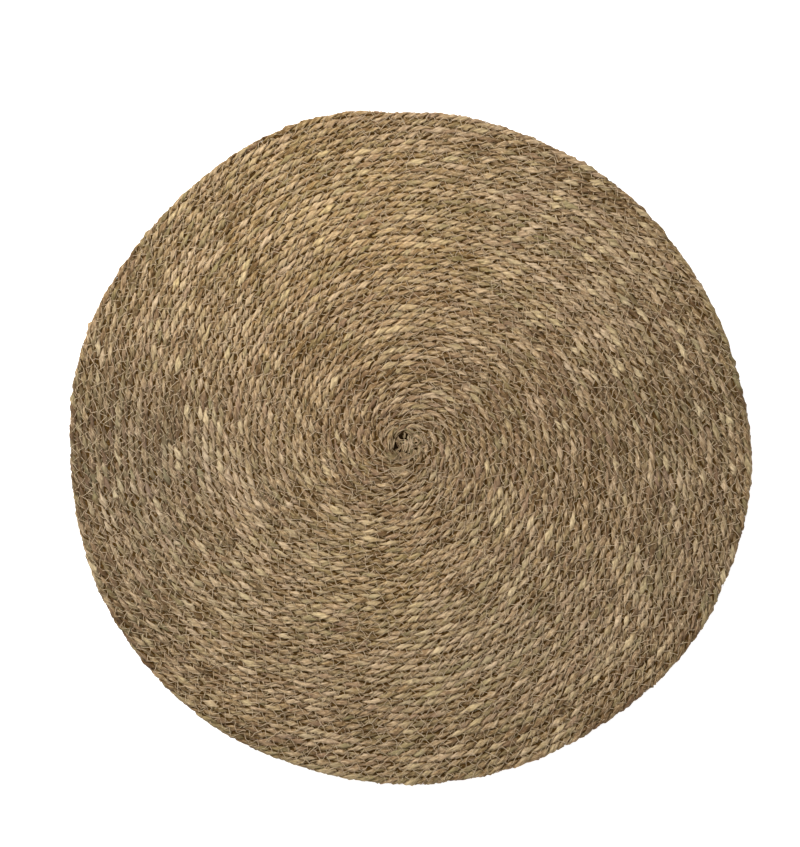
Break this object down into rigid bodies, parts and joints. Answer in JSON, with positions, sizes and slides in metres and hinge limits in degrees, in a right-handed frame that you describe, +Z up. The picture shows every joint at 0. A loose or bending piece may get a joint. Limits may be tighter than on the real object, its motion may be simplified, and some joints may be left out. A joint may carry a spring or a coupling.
{
  "type": "seagrass placemat",
  "caption": "Flat round placemat coiled from one twisted seagrass rope and sewn turn to turn, with a spiral ribbed face, a slightly uneven rim and a flat underside.",
  "frame": {"origin": "middle of the flat underside, at the height of the table that the mat lies on", "axes": "+Z up through the thickness, +Y towards the side where the rope's tail ends, +X to the right of it seen from above"},
  "size_m": [0.382, 0.3772, 0.0045],
  "materials": {
    "seagrass": "dry twisted seagrass, matte, with a light natural sheen"
  },
  "bodies": {
    "root": {"coiled_mat": "seagrass"}
  },
  "joints": []
}
